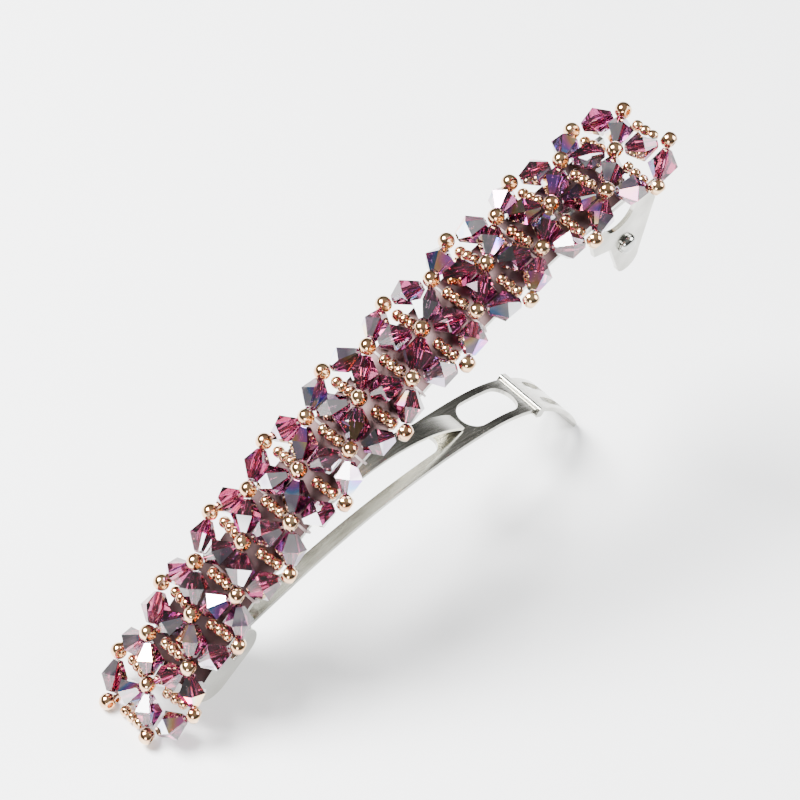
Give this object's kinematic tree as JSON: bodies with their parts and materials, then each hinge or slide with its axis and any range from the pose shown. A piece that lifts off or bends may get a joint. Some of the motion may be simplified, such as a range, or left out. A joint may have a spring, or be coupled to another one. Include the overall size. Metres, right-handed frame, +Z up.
{
  "type": "beaded spring barrette",
  "caption": "Arched spring hair barrette, standing open, with a woven band of bicone crystals and metallic seed beads over a steel bar, a sprung clasp arm and a pinch clasp.",
  "frame": {"origin": "on the surface under the middle of the open clip's box", "axes": "+X from the hinge end towards the arm's tip, +Y across the clip, +Z up"},
  "size_m": [0.0798, 0.0146, 0.0531],
  "materials": {
    "crystal": "transparent amethyst glass with a metallic rainbow coating",
    "seed_bead": "shiny rose-gold lined glass",
    "plated_steel": "bright nickel plate over fine brushed grain",
    "leaf_steel": "thin spring steel, satin",
    "thread": "clear nylon beading thread"
  },
  "bodies": {
    "base": {"base_bar": "plated_steel", "clasp_plate": "plated_steel", "clasp_rivet": "plated_steel", "binding_threads": "thread", "stringing_thread": "thread", "crystals_01": "crystal", "crystals_02": "crystal", "crystals_03": "crystal", "crystals_04": "crystal", "crystals_05": "crystal", "crystals_06": "crystal", "crystals_07": "crystal", "crystals_08": "crystal", "crystals_09": "crystal", "crystals_10": "crystal", "crystals_11": "crystal", "crystals_12": "crystal", "crystals_13": "crystal", "crystals_14": "crystal", "crystals_15": "crystal", "crystals_16": "crystal", "crystals_17": "crystal", "crystals_18": "crystal", "seed_beads_00": "seed_bead", "seed_beads_01": "seed_bead", "seed_beads_02": "seed_bead", "seed_beads_03": "seed_bead", "seed_beads_04": "seed_bead", "seed_beads_05": "seed_bead", "seed_beads_06": "seed_bead", "seed_beads_07": "seed_bead", "seed_beads_08": "seed_bead", "seed_beads_09": "seed_bead", "seed_beads_10": "seed_bead", "seed_beads_11": "seed_bead", "seed_beads_12": "seed_bead", "seed_beads_13": "seed_bead", "seed_beads_14": "seed_bead", "seed_beads_15": "seed_bead", "seed_beads_16": "seed_bead", "seed_beads_17": "seed_bead", "seed_beads_18": "seed_bead"},
    "arm": {"clasp_arm": "plated_steel", "spring_leaf": "leaf_steel", "arm_collar": "plated_steel"},
    "ear_left": {"clasp_ear_left": "plated_steel", "catch_stud_left": "plated_steel"},
    "ear_right": {"clasp_ear_right": "plated_steel", "catch_stud_right": "plated_steel"}
  },
  "joints": [
    {"name": "arm_hinge", "type": "hinge", "parent": "base", "child": "arm", "pos_m": [-0.02652, 0, 0.00901], "axis": [0, -1, 0], "range_deg": [0, 32], "stiffness_Nm_per_rad": 0.02, "springref_deg": -45.84, "deforming": ["spring_leaf"]},
    {"name": "ear_left_flex", "type": "hinge", "parent": "base", "child": "ear_left", "pos_m": [0.0348, 0.0041, 0.04718], "axis": [-0.9812, 0, -0.1929], "range_deg": [0, 4], "stiffness_Nm_per_rad": 0.02},
    {"name": "ear_right_flex", "type": "hinge", "parent": "base", "child": "ear_right", "pos_m": [0.0348, -0.0041, 0.04718], "axis": [0.9812, 0, 0.1929], "range_deg": [0, 4], "stiffness_Nm_per_rad": 0.02}
  ]
}
